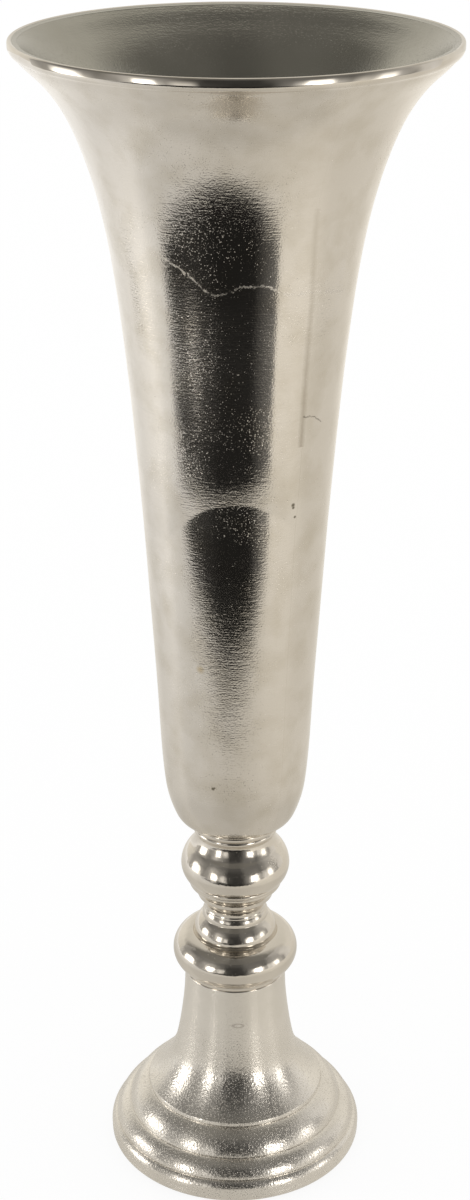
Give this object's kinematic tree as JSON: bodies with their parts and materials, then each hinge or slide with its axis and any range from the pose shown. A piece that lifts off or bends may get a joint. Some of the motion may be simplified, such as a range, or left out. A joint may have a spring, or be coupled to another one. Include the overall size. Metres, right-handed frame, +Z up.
{
  "type": "trumpet vase",
  "caption": "Tall trumpet vase of nickel-plated cast metal on a stem of two turned knops and a round stepped foot, bolted together by a rod through its middle.",
  "frame": {"origin": "on the ground under the middle of the foot", "axes": "+Z up along the vase's axis, towards the mouth; -Y is the side that faces the camera"},
  "size_m": [0.262, 0.262, 0.76],
  "materials": {
    "satin_nickel": "nickel-plated, satin, slightly pitted casting",
    "polished_nickel": "nickel-plated, mirror polished",
    "brushed_nickel": "nickel-plated, half polished casting",
    "zinc_steel": "zinc-plated",
    "seal_rubber": "matt black",
    "felt": "dark felt"
  },
  "bodies": {
    "root": {"trumpet_bowl": "satin_nickel", "neck_ring": "polished_nickel", "upper_knop": "polished_nickel", "lower_knop": "polished_nickel", "foot": "brushed_nickel", "tie_rod": "zinc_steel", "bowl_seal": "seal_rubber", "bowl_washer": "zinc_steel", "bowl_nut": "zinc_steel", "clamp_plate": "zinc_steel", "lock_washer": "zinc_steel", "foot_nut": "zinc_steel", "foot_pads": "felt"}
  },
  "joints": []
}
